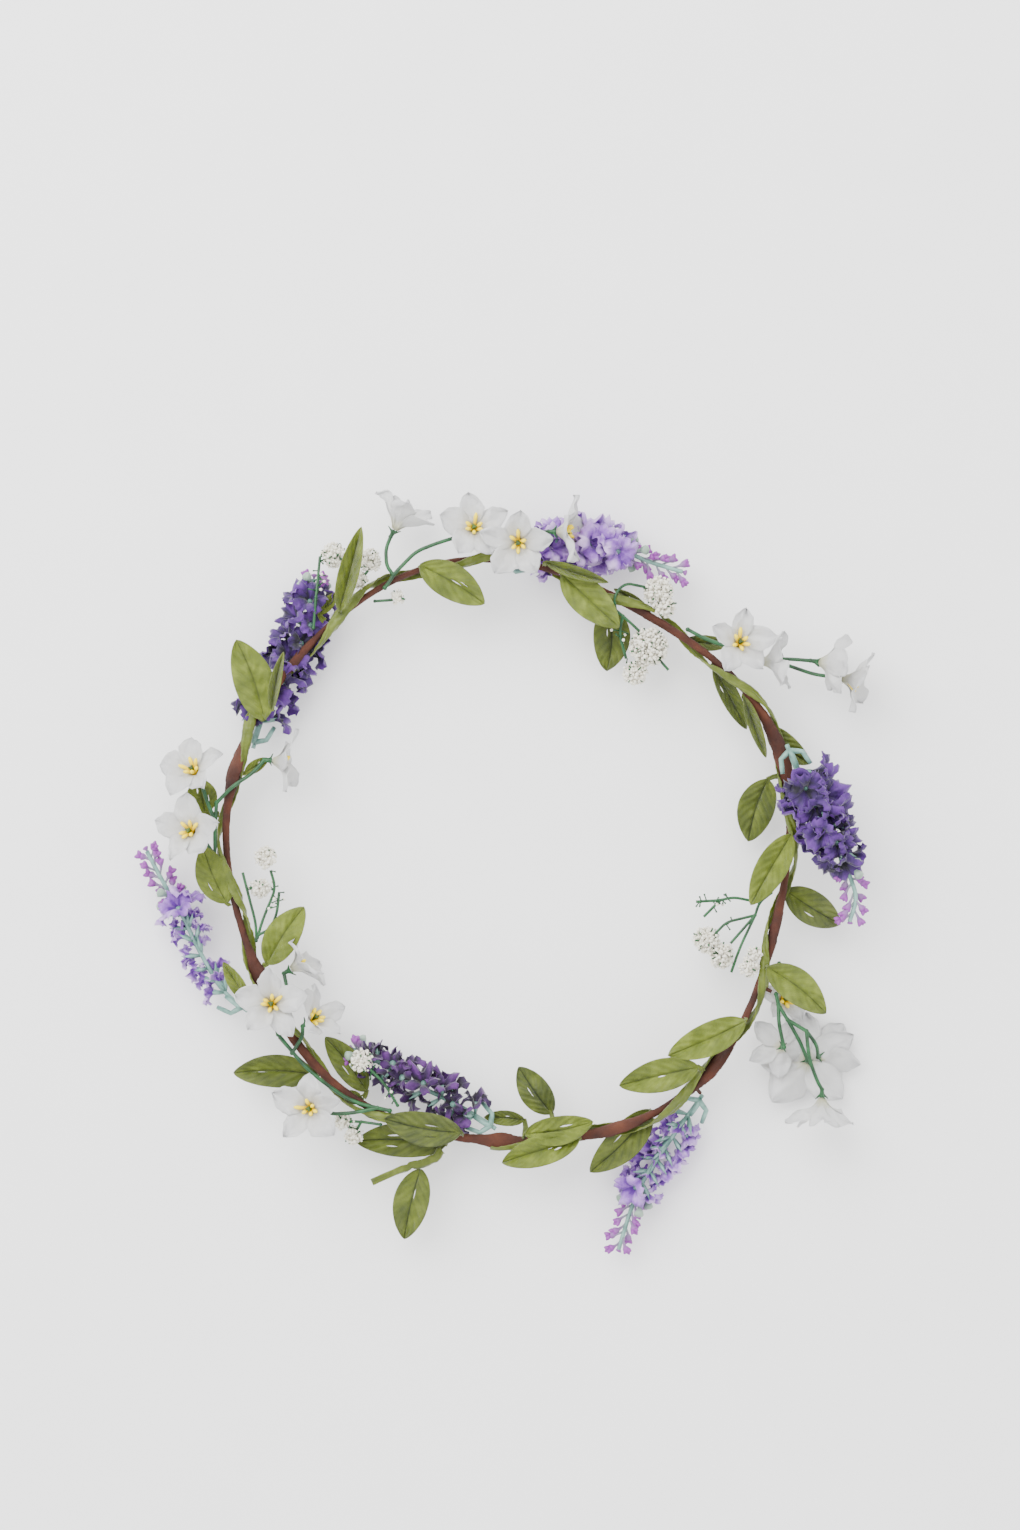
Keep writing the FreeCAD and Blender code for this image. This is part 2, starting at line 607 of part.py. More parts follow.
os.makedirs("parts", exist_ok=True)
for node_name, node_solids in build().items():
    Part.makeCompound(node_solids).exportStep(f"parts/{node_name}.step")
    print(node_name, len(node_solids), round(sum(solid.Volume for solid in node_solids), 1))
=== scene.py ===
"""Looks of the flower crown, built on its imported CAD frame. Lengths are in metres."""

import json
import math
import random

import bmesh
import bpy
import numpy as np
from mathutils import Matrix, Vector, noise

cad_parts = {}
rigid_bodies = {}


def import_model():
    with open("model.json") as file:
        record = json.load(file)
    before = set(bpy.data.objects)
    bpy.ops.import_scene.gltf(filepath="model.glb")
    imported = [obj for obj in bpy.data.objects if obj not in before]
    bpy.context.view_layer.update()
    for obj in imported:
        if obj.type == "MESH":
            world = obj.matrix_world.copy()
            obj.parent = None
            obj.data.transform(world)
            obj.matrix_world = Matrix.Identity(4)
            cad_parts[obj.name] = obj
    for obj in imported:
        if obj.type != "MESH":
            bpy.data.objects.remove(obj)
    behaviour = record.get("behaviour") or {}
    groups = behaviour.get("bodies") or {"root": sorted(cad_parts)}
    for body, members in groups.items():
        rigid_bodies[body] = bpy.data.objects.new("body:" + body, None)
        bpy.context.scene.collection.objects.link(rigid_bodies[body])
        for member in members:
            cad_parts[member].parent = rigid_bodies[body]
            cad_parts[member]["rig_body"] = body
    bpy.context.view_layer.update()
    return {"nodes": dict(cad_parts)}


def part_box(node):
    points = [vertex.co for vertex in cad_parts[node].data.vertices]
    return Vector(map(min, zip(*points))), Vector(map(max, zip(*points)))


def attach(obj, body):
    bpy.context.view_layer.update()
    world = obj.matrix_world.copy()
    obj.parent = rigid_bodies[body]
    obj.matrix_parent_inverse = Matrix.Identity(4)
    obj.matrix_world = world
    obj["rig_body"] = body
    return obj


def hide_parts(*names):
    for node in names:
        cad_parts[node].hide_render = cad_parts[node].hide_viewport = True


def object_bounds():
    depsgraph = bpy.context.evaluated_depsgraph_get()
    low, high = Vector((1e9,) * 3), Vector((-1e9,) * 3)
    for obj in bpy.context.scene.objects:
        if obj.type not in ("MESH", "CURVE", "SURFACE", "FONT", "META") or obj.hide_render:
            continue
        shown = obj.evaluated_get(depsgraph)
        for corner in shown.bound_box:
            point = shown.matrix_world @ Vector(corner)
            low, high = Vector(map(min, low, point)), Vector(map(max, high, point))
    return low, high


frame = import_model()
nodes = frame["nodes"]

MM = 0.001
UP = Vector((0, 0, 1))
chance = random.Random(11)

# real sizes of the soft pieces; a whorl's place is a share of its stem
LEAF_WIDTH = 11.5 * MM
LEAF_CLOTH = 0.22 * MM
PETAL_CLOTH = 0.14 * MM
RIBBON_WIDTH = 3.6 * MM
RIBBON_CLOTH = 0.3 * MM
TAPE_RADIUS = 1.12 * MM
TAPE_WRAP = 9.0 * MM
WIRE_COVER = 0.98 * MM
FLORET_LENGTH = 7.2 * MM
FLORET_RADIUS = 6.0 * MM
FLORET_CLOTH = 0.1 * MM
FLORET_WHORLS = 7
FIRST_WHORL = 0.13
SIDE_BUDS = 3
GRAIN_RADIUS = 0.52 * MM
GRAIN_SPACING = 0.62 * MM

# studio: places in metres and power in watts; the view's height and shift are in hoop widths
AIR_STRENGTH = 2.1
SOFTBOX_SIZE = 1.2
SOFTBOX_POWER = 28
SOFTBOX_PLACE = (-0.5, 0.7, 1.1)
CAMERA_HEIGHT = 1.3
VIEW_HEIGHT = 2.66
VIEW_SHIFT = (0.003, 0.148)


# ---- reading the frame
def welded(node):
    """Welded points of a CAD node, as one array for each of its solids."""
    mesh = bmesh.new()
    mesh.from_mesh(nodes[node].data)
    bmesh.ops.remove_doubles(mesh, verts=mesh.verts, dist=2e-6)
    mesh.verts.ensure_lookup_table()
    seen = set()
    solids = []
    for vertex in mesh.verts:
        if vertex.index in seen:
            continue
        seen.add(vertex.index)
        edge, group = [vertex], []
        while edge:
            here = edge.pop()
            group.append(tuple(here.co))
            for link in here.link_edges:
                other = link.other_vert(here)
                if other.index not in seen:
                    seen.add(other.index)
                    edge.append(other)
        solids.append(np.array(group))
    mesh.free()
    return solids


def main_axes(points):
    """Middle of a cloud of points and its three axes, longest first."""
    middle = (points.max(0) + points.min(0)) / 2
    _, _, axes = np.linalg.svd(points - points.mean(0), full_matrices=False)
    return middle, axes


def turned_on_ring(points, bins):
    """Mean point of a ring-shaped cloud in each equal step of angle, gaps filled in between."""
    angles = np.arctan2(points[:, 1], points[:, 0]) % (2 * math.pi)
    step = (angles / (2 * math.pi) * bins).astype(int) % bins
    found = [b for b in range(bins) if np.any(step == b)]
    reach = np.hypot(points[:, 0], points[:, 1])
    mean_reach = [reach[step == b].mean() for b in found]
    mean_height = [points[step == b, 2].mean() for b in found]
    every = np.arange(bins)
    around = (every + 0.5) / bins * 2 * math.pi
    reaches = np.interp(every, found, mean_reach, period=bins)
    heights = np.interp(every, found, mean_height, period=bins)
    return np.column_stack([reaches * np.cos(around), reaches * np.sin(around), heights])


def smoothed(line, closed, times=2):
    """Line of points with each one drawn towards its two neighbours."""
    for _ in range(times):
        before, after = np.roll(line, 1, 0), np.roll(line, -1, 0)
        if not closed:
            before[0], after[-1] = line[0], line[-1]
        line = (before + 2 * line + after) / 4
    return line


def spine(points, bins=18):
    """Centreline of a long bent rod, from its end nearest the hoop to its tip."""
    middle, axes = main_axes(points)
    along = (points - middle) @ axes[0]
    edges = np.linspace(along.min(), along.max() + 1e-9, bins + 1)
    rows = [points[(along >= a) & (along < b)].mean(0)
            for a, b in zip(edges, edges[1:]) if np.any((along >= a) & (along < b))]
    line = smoothed(np.array(rows), closed=False, times=1)
    if hoop_distance(line[0]) > hoop_distance(line[-1]):
        line = line[::-1]
    return line


hoop_line = smoothed(turned_on_ring(np.vstack(welded("hoop_wire")), 360), closed=True)


def hoop_distance(point):
    """Distance of a point from the wire's centreline."""
    return float(np.linalg.norm(hoop_line - np.asarray(point), axis=1).min())


def nearest_on(line, point):
    """Point of a line that lies nearest to another point."""
    return Vector(line[int(np.linalg.norm(line - np.asarray(point), axis=1).argmin())])


def at_share(line, share):
    """Point and direction at a share of a line's length."""
    steps = np.linalg.norm(np.diff(line, axis=0), axis=1)
    run = np.concatenate([[0], np.cumsum(steps)]) / steps.sum()
    point = Vector([float(np.interp(share, run, line[:, k])) for k in range(3)])
    low, high = max(share - 0.03, 0), min(share + 0.03, 1)
    back = Vector([float(np.interp(low, run, line[:, k])) for k in range(3)])
    ahead = Vector([float(np.interp(high, run, line[:, k])) for k in range(3)])
    return point, (ahead - back).normalized()


# ---- building meshes
class Pile:
    """Geometry gathered for one piece, with a texture place and a tone for each point."""

    def __init__(self):
        self.points = []
        self.faces = []
        self.places = []
        self.tones = []
        self.count = 0

    def add(self, points, faces, places=None, tones=0.5):
        points = np.asarray(points, float)
        size = len(points)
        self.points.append(points)
        self.faces += [tuple(corner + self.count for corner in face) for face in faces]
        self.places.append(np.zeros((size, 2)) if places is None else np.asarray(places, float))
        self.tones.append(np.full(size, tones) if np.isscalar(tones) else np.asarray(tones, float))
        self.count += size


def grid_faces(rows, columns, wrapped=False):
    """Four-cornered faces of a grid of points, closed round on itself if wrapped."""
    faces = []
    for i in range(rows - 1):
        for j in range(columns if wrapped else columns - 1):
            k = (j + 1) % columns
            faces.append((i * columns + j, (i + 1) * columns + j,
                          (i + 1) * columns + k, i * columns + k))
    return faces


def axes_for(forward, upward):
    """Three square directions, the first along forward and the third near upward."""
    ahead = Vector(forward).normalized()
    side = Vector(upward).cross(ahead)
    if side.length < 1e-6:
        side = Vector((1, 0, 0)).cross(ahead) if abs(ahead.x) < 0.9 else UP.cross(ahead)
    side.normalize()
    return np.array([ahead, side, ahead.cross(side)])


def sheet_grid(rows, columns):
    """Shares along a sheet, from 0 to 1, and across it, from -1 to 1, at each of its points."""
    return np.meshgrid(np.linspace(0, 1, rows), np.linspace(-1, 1, columns), indexing="ij")


def noise_over(x, y, z):
    """Smooth noise at each point of a grid; z may be one number for all of them."""
    spots = zip(x.ravel(), y.ravel(), np.broadcast_to(z, x.shape).ravel())
    return np.array([noise.noise(Vector(spot)) for spot in spots]).reshape(x.shape)


def spun(spoke, axis, turn):
    """A spoke turned round an axis that it is square to."""
    return spoke * math.cos(turn) + axis.cross(spoke) * math.sin(turn)


def in_place(x, y, z, origin, axes):
    """Points of a piece moved from its own axes to the frame's."""
    local = np.column_stack([np.ravel(x), np.ravel(y), np.ravel(z)])
    return local @ axes + np.asarray(origin)


def piece(name, pile, material, node, stands_for=(), thickness=0.0):
    """One shown piece that rides on the body of a CAD node."""
    mesh = bpy.data.meshes.new(name)
    points = np.vstack(pile.points)
    mesh.from_pydata(points.tolist(), [], pile.faces)
    places = np.vstack(pile.places)
    tones = np.concatenate(pile.tones)
    layer = mesh.uv_layers.new(name="UVMap")
    corners = np.zeros(len(mesh.loops), np.int32)
    mesh.loops.foreach_get("vertex_index", corners)
    layer.data.foreach_set("uv", places[corners].astype(np.float32).ravel())
    tone = mesh.attributes.new("tone", "FLOAT", "POINT")
    tone.data.foreach_set("value", tones.astype(np.float32))
    mesh.polygons.foreach_set("use_smooth", np.ones(len(mesh.polygons), bool))
    mesh.materials.append(material)
    mesh.update()
    shown = bpy.data.objects.new(name, mesh)
    bpy.context.scene.collection.objects.link(shown)
    if thickness:
        cloth = shown.modifiers.new("cloth", "SOLIDIFY")
        cloth.thickness = thickness
        cloth.offset = 0
    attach(shown, nodes[node]["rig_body"])
    if stands_for:
        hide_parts(*stands_for)
    return shown


def rod(pile, line, radii, around=8, tones=0.5):
    """Round rod with closed ends along a line of points, with a radius at each."""
    line = np.asarray(line, float)
    ahead = np.gradient(line, axis=0)
    rows = []
    side = axes_for(ahead[0], UP + Vector((0.13, 0.07, 0)))[1]
    for point, step, radius in zip(line, ahead, radii):
        step = step / (np.linalg.norm(step) or 1)
        side = side - step * (side @ step)
        side /= np.linalg.norm(side)
        other = np.cross(step, side)
        turn = np.linspace(0, 2 * math.pi, around, endpoint=False)
        rows.append(point + radius * (np.outer(np.cos(turn), side) + np.outer(np.sin(turn), other)))
    count = len(line)
    faces = grid_faces(count, around, wrapped=True)
    faces.append(tuple(range(around)))
    faces.append(tuple(reversed(range((count - 1) * around, count * around))))
    shares = np.repeat(np.linspace(0, 1, count), around)
    turns = np.tile(np.linspace(0, 1, around), count)
    level = tones if np.isscalar(tones) else np.repeat(tones, around)
    pile.add(np.vstack(rows), faces, np.column_stack([shares, turns]), level)


# ---- materials
def linear(red, green, blue):
    """Colour on the 0 to 255 screen scale as linear light."""
    return tuple((level / 255) ** 2.2 for level in (red, green, blue)) + (1.0,)


class Recipe:
    """A material whose shader nodes are added one by one."""

    def __init__(self, name):
        self.material = bpy.data.materials.new(name)
        self.material.use_nodes = True
        self.tree = self.material.node_tree
        self.surface = self.tree.nodes["Principled BSDF"]
        self.where = self.tree.nodes.new("ShaderNodeTexCoord")

    def add(self, kind, inputs, **settings):
        made = self.tree.nodes.new(kind)
        for key, value in settings.items():
            setattr(made, key, value)
        for key, value in inputs.items():
            self.give(made.inputs[key], value)
        return made

    def give(self, socket, value):
        if isinstance(value, bpy.types.NodeSocket):
            self.tree.links.new(value, socket)
        else:
            socket.default_value = value

    def finish(self, **values):
        for key, value in values.items():
            self.give(self.surface.inputs[key.replace("_", " ")], value)
        return self.material

    def tone(self):
        return self.add("ShaderNodeAttribute", {}, attribute_name="tone").outputs["Fac"]

    def uv(self, across, along=1.0):
        """Texture places of the cloth, stretched to that many repeats."""
        return self.add("ShaderNodeMapping", {"Vector": self.where.outputs["UV"],
                                              "Scale": (along, across, 1)}).outputs["Vector"]

    def speckle(self, scale, detail=3.0, vector=None, rough=0.5):
        source = self.where.outputs["Object"] if vector is None else vector
        return self.add("ShaderNodeTexNoise", {"Vector": source, "Scale": scale, "Detail": detail,
                                               "Roughness": rough}).outputs["Fac"]

    def ramp(self, factor, stops):
        made = self.add("ShaderNodeValToRGB", {"Fac": factor})
        elements = made.color_ramp.elements
        while len(elements) < len(stops):
            elements.new(0.5)
        for element, (place, colour) in zip(elements, stops):
            element.position = place
            element.color = colour
        return made.outputs["Color"]

    def mix(self, factor, low, high, blend="MIX"):
        made = self.add("ShaderNodeMix", {"Factor": factor}, data_type="RGBA", blend_type=blend)
        self.give(made.inputs[6], low)
        self.give(made.inputs[7], high)
        return made.outputs[2]

    def maths(self, operation, first, second=0.0):
        made = self.add("ShaderNodeMath", {}, operation=operation)
        self.give(made.inputs[0], first)
        self.give(made.inputs[1], second)
        return made.outputs[0]

    def bump(self, height, distance, strength=1.0, below=None):
        inputs = {"Height": height, "Distance": distance, "Strength": strength}
        if below is not None:
            inputs["Normal"] = below
        return self.add("ShaderNodeBump", inputs).outputs["Normal"]

    def let_light_through(self, share, colour):
        """Thin cloth: part of the light that falls on one face leaves by the other."""
        through = self.add("ShaderNodeBsdfTranslucent", {"Color": colour})
        both = self.add("ShaderNodeMixShader", {"Fac": share})
        self.give(both.inputs[1], self.surface.outputs[0])
        self.give(both.inputs[2], through.outputs[0])
        self.tree.links.new(both.outputs[0], self.tree.nodes["Material Output"].inputs[0])


def leaf_satin():
    """Green satin with a fine weave and crinkles, mixed towards dark green where the tone is high;
    the tone holds painted shade in the midrib groove, between the side veins and on low-hanging
    leaves, painted highlight on the raised veins, and random mottling.
    """
    made = Recipe("leaf_satin")
    cloud = made.speckle(230, 4.0)
    base = made.ramp(cloud, [(0.2, linear(84, 98, 20)), (0.5, linear(108, 122, 32)),
                             (0.8, linear(140, 154, 60))])
    # painted shade: the tone mixes in this dark green, deepest in the midrib groove, between the
    # veins and on low-hanging leaves
    colour = made.mix(made.tone(), base, linear(34, 44, 6))
    weave = made.add("ShaderNodeTexWave", {"Vector": made.uv(60, 130), "Scale": 1.0,
                                           "Distortion": 1.5, "Detail": 2.0}).outputs["Fac"]
    crinkle = made.speckle(380, 3.0)
    lower = made.bump(crinkle, 0.0011, 0.7)
    made.finish(Base_Color=colour, Roughness=0.46, Sheen_Weight=0.25, Sheen_Roughness=0.4,
                Normal=made.bump(weave, 0.00006, 0.5, lower))
    made.let_light_through(0.16, colour)
    return made.material


def petal_cloth():
    """Thin white cloth with a faint streak texture and painted grey shade in its folds, greenish
    yellow at the throat.
    """
    made = Recipe("petal_cloth")
    streaks_and_fold_shade = made.speckle(6.0, 4.0, made.uv(14, 1.2))
    throat = made.ramp(made.tone(), [(0.0, linear(232, 230, 176)), (0.16, linear(246, 246, 242)),
                                     (1.0, linear(252, 252, 252))])
    # the grey mixed in along the streak pattern is partly the cloth's own streak texture, partly
    # painted shade in the petal folds
    colour = made.mix(made.maths("MULTIPLY", streaks_and_fold_shade, 0.42), throat, linear(204, 204, 208))
    weave = made.speckle(2600, 2.0)
    lower = made.bump(streaks_and_fold_shade, 0.0008, 0.8)
    made.finish(Base_Color=colour, Roughness=0.5, Sheen_Weight=0.2,
                Normal=made.bump(weave, 0.00008, 0.4, lower))
    made.let_light_through(0.2, colour)
    return made.material


def floret_cloth(name, fold, body, rim):
    """Purple cloth, painted with shade and light: from a dark fold colour down the tube and between
    the lobes, through its body colour, to a pale rim.
    """
    made = Recipe(name)
    grain = made.speckle(900, 4.0)
    factor = made.maths("ADD", made.tone(), made.maths("MULTIPLY", grain, 0.5))
    # painted shade and light: low tone gives the dark fold colour, high tone the pale rim
    colour = made.ramp(made.maths("SUBTRACT", factor, 0.25),
                       [(0.12, fold), (0.5, body), (0.88, rim)])
    made.finish(Base_Color=colour, Roughness=0.6, Sheen_Weight=0.35,
                Normal=made.bump(grain, 0.0005, 0.6))
    made.let_light_through(0.22, colour)
    return made.material


def moulded_plastic(name, dark, light, roughness=0.42, scale=260):
    """Matt plastic whose colour clouds between two shades."""
    made = Recipe(name)
    cloud = made.speckle(scale, 4.0)
    colour = made.ramp(cloud, [(0.35, dark), (0.68, light)])
    made.finish(Base_Color=colour, Roughness=roughness, Normal=made.bump(cloud, 0.0003, 0.4))
    return made.material


def toned_plastic(name, low, high, roughness=0.5):
    """Plastic whose colour runs from one end of each piece to the other."""
    made = Recipe(name)
    grain = made.speckle(700, 3.0)
    factor = made.maths("ADD", made.tone(), made.maths("MULTIPLY", grain, 0.3))
    colour = made.ramp(made.maths("SUBTRACT", factor, 0.15), [(0.1, low), (0.8, high)])
    made.finish(Base_Color=colour, Roughness=roughness, Normal=made.bump(grain, 0.0003, 0.4))
    return made.material


def crepe_paper():
    """Brown paper tape, creased along the hoop."""
    made = Recipe("crepe_paper")
    creases = made.speckle(9.0, 5.0, made.uv(1.4, 420), rough=0.65)
    blotch = made.speckle(120, 3.0)
    base = made.ramp(blotch, [(0.3, linear(54, 24, 12)), (0.55, linear(84, 42, 24)),
                              (0.75, linear(108, 60, 36))])
    colour = made.mix(made.maths("MULTIPLY", creases, 0.6), base, linear(48, 24, 16))
    made.finish(Base_Color=colour, Roughness=0.8, Normal=made.bump(creases, 0.0005, 0.8))
    return made.material


def foam_grain():
    """Cream foam with a rough skin."""
    made = Recipe("foam_grain")
    cloud = made.speckle(1500, 3.0)
    colour = made.ramp(cloud, [(0.3, linear(222, 217, 196)), (0.7, linear(246, 243, 233))])
    made.finish(Base_Color=colour, Roughness=0.75, Normal=made.bump(cloud, 0.0003, 0.7))
    return made.material


def wire_steel():
    made = Recipe("wire_steel")
    cloud = made.speckle(900, 3.0)
    colour = made.ramp(cloud, [(0.3, linear(140, 140, 142)), (0.7, linear(186, 186, 188))])
    made.finish(Base_Color=colour, Metallic=1.0, Roughness=0.4)
    return made.material


LEAF = leaf_satin()
PETAL = petal_cloth()
STAMEN = toned_plastic("stamen_yellow", linear(226, 178, 0), linear(255, 226, 0))
PISTIL = moulded_plastic("pistil_green", linear(38, 60, 22), linear(84, 110, 40))
STEM = moulded_plastic("stem_green", linear(12, 54, 26), linear(36, 92, 50))
TEAL = moulded_plastic("lavender_stem_teal", linear(84, 122, 112), linear(134, 172, 162))
BUD = toned_plastic("bud_mauve", linear(118, 140, 130), linear(138, 62, 152))
GREY_BUD = moulded_plastic("bud_grey_green", linear(118, 142, 126), linear(156, 176, 160))
# each floret cloth: painted shade colour for tube and lobe creases, body colour, pale rim
LIGHT_FLORET = floret_cloth("floret_light", linear(96, 38, 148), linear(162, 108, 206),
                            linear(212, 180, 234))
DARK_FLORET = floret_cloth("floret_dark", linear(16, 4, 30), linear(54, 16, 92),
                           linear(96, 46, 142))
DEEP_FLORET = floret_cloth("floret_deep", linear(20, 2, 30), linear(50, 8, 72),
                           linear(92, 36, 118))
TAPE = crepe_paper()
GRAIN = foam_grain()
STEEL = wire_steel()


# ---- hoop
def bulge(angle, places):
    """How far a wrap swells at an angle round the hoop, from humps of (angle, spread, height)."""
    total = np.zeros_like(angle)
    for middle, spread, height in places:
        apart = (angle - middle + 180) % 360 - 180
        total = total + height * np.exp(-(apart / spread) ** 2)
    return total


TAPE_BULGES = [(163, 5, 0.9), (207, 5, 1.1), (313, 6, 1.3), (343, 7, 0.7), (20, 8, 0.6),
               (138, 6, 0.7), (291, 5, 0.7), (268, 3, 0.6)]
RIBBON_BULGES = [(120, 7, 0.6), (150, 8, 0.3), (200, 8, 0.4),
                 (295, 9, 0.4), (328, 6, 0.4), (262, 6, 0.3)]


def paper_tape():
    """Crepe paper wound on the wire: overlapping turns, flattened and swollen in places."""
    steps, around = 1440, 20
    share = np.arange(steps) / steps
    closed_line = np.vstack([hoop_line, hoop_line[:1]])
    line = np.array([np.interp(share * 360, np.arange(361), closed_line[:, k])
                     for k in range(3)]).T
    ahead = np.roll(line, -1, 0) - np.roll(line, 1, 0)
    step_length = np.linalg.norm(ahead, axis=1) / 2
    ahead /= np.linalg.norm(ahead, axis=1)[:, None]
    out = np.column_stack([ahead[:, 1], -ahead[:, 0], np.zeros(steps)])
    run = np.cumsum(step_length)
    wraps = round(run[-1] / TAPE_WRAP)
    rows, shares = [], []
    for i in range(steps):
        degrees = share[i] * 360
        swell = 1 + bulge(np.array(degrees), TAPE_BULGES)
        flat = 0.18 + 0.16 * math.sin(math.radians(degrees * 7)) + 0.25 * (swell - 1)
        roll = math.radians(degrees * 3 + 40 * math.sin(math.radians(degrees * 5)))
        turn = np.linspace(0, 2 * math.pi, around, endpoint=False)
        lap = (share[i] * wraps + turn / (2 * math.pi)) % 1.0
        radius = TAPE_RADIUS * swell * (0.94 + 0.13 * lap)
        crease = np.array([noise.noise(Vector((share[i] * 900, math.cos(a) * 1.5,
                                               math.sin(a) * 1.5))) for a in turn])
        radius = radius * (1 + 0.07 * crease)
        wide = radius * (1 + flat) * np.cos(turn)
        tall = np.maximum(radius * (1 - min(flat, 0.5)), WIRE_COVER) * np.sin(turn)
        across = wide * math.cos(roll * 0.25) - tall * math.sin(roll * 0.25)
        up = wide * math.sin(roll * 0.25) + tall * math.cos(roll * 0.25)
        rows.append(line[i] + np.outer(across, out[i]) + np.outer(up, UP))
        shares.append(np.column_stack([np.full(around, share[i]), turn / (2 * math.pi)]))
    faces = grid_faces(steps, around, wrapped=True)
    last = (steps - 1) * around
    faces += [(last + j, j, (j + 1) % around, last + (j + 1) % around) for j in range(around)]
    pile = Pile()
    pile.add(np.vstack(rows), faces, np.vstack(shares))
    piece("paper_tape_wrap", pile, TAPE, "hoop_tape", ["hoop_tape"])


def strip(pile, line, normals, width, curl=0.25, tones=0.3, waver=0.15):
    """Flat cloth strip along a line, with a normal at each point and its edges curled."""
    line = np.asarray(line, float)
    ahead = np.gradient(line, axis=0)
    ahead /= np.linalg.norm(ahead, axis=1)[:, None]
    columns = 9
    across = np.linspace(-1, 1, columns)
    rows, places = [], []
    count = len(line)
    for i, (point, step, normal) in enumerate(zip(line, ahead, normals)):
        normal = normal - step * (normal @ step)
        normal /= np.linalg.norm(normal)
        side = np.cross(normal, step)
        wave = noise.noise(Vector(point) * 160)
        half = width[i] / 2 * (1 + waver * wave)
        lift = -curl * half * across ** 2 + 0.00025 * np.sin(across * 5 + wave * 4)
        rows.append(point + np.outer(across * half, side) + np.outer(lift, normal))
        places.append(np.column_stack([np.full(columns, i / count), (across + 1) / 2]))
    pile.add(np.vstack(rows), grid_faces(count, columns), np.vstack(places), tones)


def garland_ribbon():
    """The green ribbon that twists round the taped hoop."""
    points = np.vstack(welded("garland_ribbon"))
    bins = 576
    line = smoothed(turned_on_ring(points, bins), closed=True, times=3)
    covered = np.degrees(np.arctan2(points[:, 1], points[:, 0])) % 360
    angles = (np.arange(bins) + 0.5) * 360 / bins
    filled = [i for i, angle in enumerate(angles)
              if np.abs((covered - angle + 180) % 360 - 180).min() < 1.5]
    jumps = [(after - before) % bins for before, after in zip(filled, filled[1:] + filled[:1])]
    gap = jumps.index(max(jumps))
    order = filled[gap + 1:] + filled[:gap + 1]
    line = line[order]
    out = np.array([np.asarray(Vector(p) - nearest_on(hoop_line, p)) for p in line])
    width = RIBBON_WIDTH * (0.85 + bulge(angles[order], RIBBON_BULGES))
    pile = Pile()
    strip(pile, line, out, width, curl=0.35)
    piece("garland_ribbon_strip", pile, LEAF, "garland_ribbon",
          ["garland_ribbon"], RIBBON_CLOTH)


# ---- leaves
def leaf_half_width(u):
    """Half width of a leaf as a share of its widest, from its stalk to its pointed tip."""
    shape = u ** 0.62 * (1 - u) ** 0.74
    return np.maximum(shape / shape.max(), 0.085 * (u < 0.5))


def leaf_sheet(pile, base, tip, normal, width, fold, tone, seed):
    """Stamped cloth leaf: midrib, side veins, crinkles, a fold along the middle and slits."""
    pick = random.Random(seed)
    rows, columns = 45, 25
    length = (Vector(tip) - Vector(base)).length
    u, v = sheet_grid(rows, columns)
    half = width / 2 * leaf_half_width(u)
    skew = pick.uniform(-0.09, 0.09) * length
    y = half * v + skew * np.sin(math.pi * u) * 0.6
    x = u * length
    steep = math.radians(fold)
    ripple = noise_over(u * 3.1, v * 1.3, seed * 3.7)
    veins = u * 6.5 - np.abs(v) * 2.1
    ridge = np.exp(-((veins % 1 - 0.5) / 0.13) ** 2) * np.clip(np.abs(v) * 6, 0, 1)
    inward = np.clip((0.97 - np.abs(v)) * 8, 0, 1) * np.clip(u * 8, 0, 1)
    inward = inward * np.clip((1 - u) * 8, 0, 1)
    z = np.abs(half * v) * math.sin(steep)
    y = y * math.cos(steep)
    z += length * (pick.uniform(0, 0.07) * np.sin(math.pi * u) + pick.uniform(0, 0.05) * u ** 2)
    z += ripple * 0.055 * width * 1.6
    z -= 0.00045 * np.exp(-(v / 0.07) ** 2) * inward
    z += 0.00042 * ridge * inward
    places = np.column_stack([u.ravel(), (v.ravel() + 1) / 2])
    axes = axes_for(Vector(tip) - Vector(base), normal)
    # painted shade and highlight: the tone is raised in the sunken midrib and between the side veins
    # and lowered on the raised veins, over random mottling from the ripple
    shade = np.clip(tone + 0.3 * ripple + 0.45 * np.exp(-(v / 0.05) ** 2)
                    + 0.16 * np.exp(-((veins % 1 - 0.95) / 0.10) ** 2) - 0.12 * ridge, 0, 1)
    points = in_place(x, y, z, base, axes)
    faces = grid_faces(rows, columns)
    tones = shade.ravel()
    for _ in range(pick.choice((0, 1, 1, 2))):
        points, faces, places, tones = slit(points, faces, places, tones,
                                            rows, columns, axes[1], pick)
    pile.add(points, faces, places, tones)


def slit(points, faces, places, tones, rows, columns, side, pick):
    """Opens a short cut along a vein, where the stamping tore the cloth."""
    column = columns // 2 + pick.choice((-5, -3, 1, 3, 5))
    first = pick.randint(10, rows - 20)
    last = first + pick.randint(5, 9)
    width = pick.uniform(0.10, 0.30) * MM
    copies = {}
    points = points.copy()
    extra = []
    for row in range(first + 1, last):
        here = row * columns + column
        opening = width * math.sin(math.pi * (row - first) / (last - first))
        copies[here] = len(points) + len(extra)
        extra.append(points[here] + side * opening)
        points[here] = points[here] - side * opening
    swapped = []
    for face in faces:
        beyond = all(corner % columns >= column for corner in face if corner < rows * columns)
        near = any(corner in copies for corner in face)
        swapped.append(tuple(copies.get(corner, corner) for corner in face)
                       if near and beyond else face)
    kept = sorted(copies, key=copies.get)
    return (np.vstack([points, extra]), swapped, np.vstack([places, places[kept]]),
            np.concatenate([tones, tones[kept]]))


